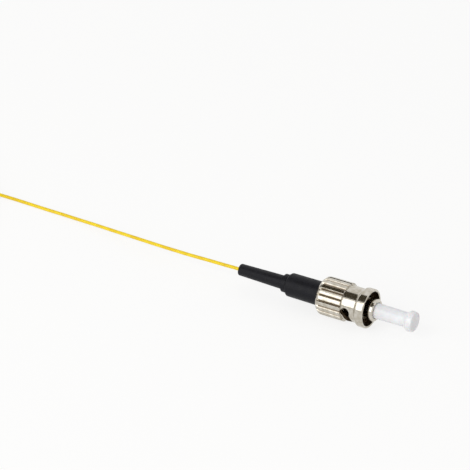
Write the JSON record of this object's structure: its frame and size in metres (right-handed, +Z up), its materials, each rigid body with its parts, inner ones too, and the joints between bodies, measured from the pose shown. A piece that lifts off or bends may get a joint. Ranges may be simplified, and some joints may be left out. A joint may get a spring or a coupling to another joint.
{
  "type": "bayonet fibre connector with pigtail lead",
  "caption": "Bayonet-lock optical fibre connector with knurled coupling nut, keyed barrel, ceramic ferrule, soft boot, pull-off dust cap and tight-buffered fibre lead.",
  "frame": {"origin": "centre of the barrel's front face, on the ferrule's axis", "axes": "+X along the ferrule's axis towards its tip, +Z up as the connector lies on a table"},
  "size_m": [0.1517, 0.0204, 0.01],
  "materials": {
    "cap_plastic": "natural translucent soft polyethylene, satin",
    "zirconia": "polished white zirconia ceramic",
    "fibre_glass": "bare silica fibre",
    "nickel": "bright nickel plate on brass, smooth and slightly warm",
    "spring_steel": "drawn stainless spring wire",
    "guide_plastic": "white fluoropolymer tube",
    "boot_rubber": "matte black moulded elastomer",
    "buffer_yellow": "yellow tight buffer, satin",
    "tie_plastic": "black wrap tie"
  },
  "bodies": {
    "body": {"connector_body": "nickel", "ferrule": "zirconia", "glass_fibre": "fibre_glass", "spring": "spring_steel", "retaining_clip": "spring_steel", "guide_tube": "guide_plastic", "crimp_sleeve": "nickel", "boot": "boot_rubber", "fibre_lead": "buffer_yellow", "fibre_coil": "buffer_yellow", "coil_tie": "tie_plastic"},
    "washer": {"thrust_washer": "nickel"},
    "nut": {"coupling_nut": "nickel"},
    "cap": {"dust_cap": "cap_plastic"}
  },
  "joints": [
    {"name": "nut_slide", "type": "slide", "parent": "body", "child": "washer", "axis": [1, 0, 0], "range_m": [0, 0.0018], "stiffness_N_per_m": 2500, "springref_m": -0.001, "deforming": ["spring"]},
    {"name": "nut_turn", "type": "hinge", "parent": "washer", "child": "nut", "pos_m": [-0.009, 0, 0], "axis": [1, 0, 0], "continuous": true},
    {"name": "cap_slide", "type": "slide", "parent": "body", "child": "cap", "axis": [1, 0, 0], "range_m": [0, 0.012]}
  ]
}
